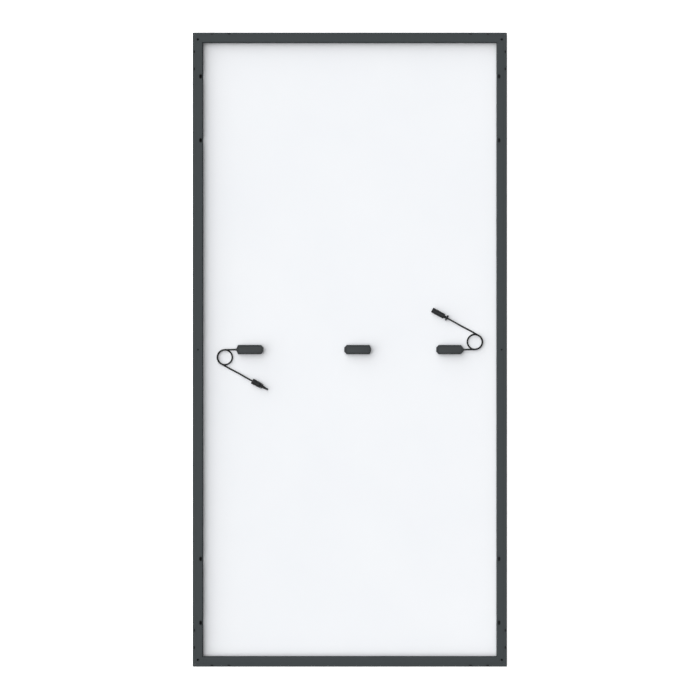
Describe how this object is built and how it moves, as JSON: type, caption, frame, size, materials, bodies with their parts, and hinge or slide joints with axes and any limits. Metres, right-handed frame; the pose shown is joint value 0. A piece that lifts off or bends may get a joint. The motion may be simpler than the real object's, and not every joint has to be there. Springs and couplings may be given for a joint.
{
  "type": "photovoltaic module",
  "caption": "Framed half-cut-cell solar panel with split rear junction boxes, coiled output leads and single-pole connectors.",
  "frame": {"origin": "centre of the module, on the plane of the frame's front lip", "axes": "+X across the module, +Y along its length, +Z towards the rear flange, away from the glass"},
  "size_m": [1.038, 2.094, 0.035],
  "materials": {
    "frame_metal": "dark slate anodised, satin",
    "key_metal": "mill finish",
    "sealant": "matte silicone",
    "glass": "clear tempered, smooth",
    "film": "clear film",
    "cell": "dark blue silicon, satin",
    "tinned": "tinned copper",
    "backsheet": "white, matte",
    "box_plastic": "dark slate, matte",
    "lid_plastic": "dark slate, matte",
    "diode": "moulded black",
    "potting": "soft silicone",
    "gland_rubber": "black rubber",
    "cable": "black cable sheath, satin",
    "connector_plastic": "black, matte",
    "contact_metal": "tinned copper"
  },
  "bodies": {
    "root": {"long_rail_left": "frame_metal", "long_rail_right": "frame_metal", "short_rail_top": "frame_metal", "short_rail_bottom": "frame_metal", "corner_keys": "key_metal", "edge_seal": "sealant", "front_glass": "glass", "front_encapsulant": "film", "rear_encapsulant": "film", "cell_string_01": "cell", "cell_string_02": "cell", "cell_string_03": "cell", "cell_string_04": "cell", "cell_string_05": "cell", "cell_string_06": "cell", "cell_string_07": "cell", "cell_string_08": "cell", "cell_string_09": "cell", "cell_string_10": "cell", "cell_string_11": "cell", "cell_string_12": "cell", "string_wires": "tinned", "bus_ribbons": "tinned", "lead_out_tabs": "tinned", "backsheet": "backsheet", "box_pad_left": "sealant", "box_base_left": "box_plastic", "box_lid_left": "lid_plastic", "box_terminals_left": "tinned", "bypass_diode_left": "diode", "box_potting_left": "potting", "box_pad_centre": "sealant", "box_base_centre": "box_plastic", "box_lid_centre": "lid_plastic", "box_terminals_centre": "tinned", "bypass_diode_centre": "diode", "box_potting_centre": "potting", "box_pad_right": "sealant", "box_base_right": "box_plastic", "box_lid_right": "lid_plastic", "box_terminals_right": "tinned", "bypass_diode_right": "diode", "box_potting_right": "potting", "cable_gland_left": "gland_rubber", "cable_exit_left": "cable", "cable_loop_left": "cable", "cable_run_left": "cable", "cable_gland_right": "gland_rubber", "cable_exit_right": "cable", "cable_loop_right": "cable", "cable_run_right": "cable", "plug_nut": "connector_plastic", "plug_body": "connector_plastic", "socket_nut": "connector_plastic", "socket_body": "connector_plastic", "plug_contact": "contact_metal", "socket_contact": "contact_metal", "plug_seal_ring": "gland_rubber"}
  },
  "joints": []
}
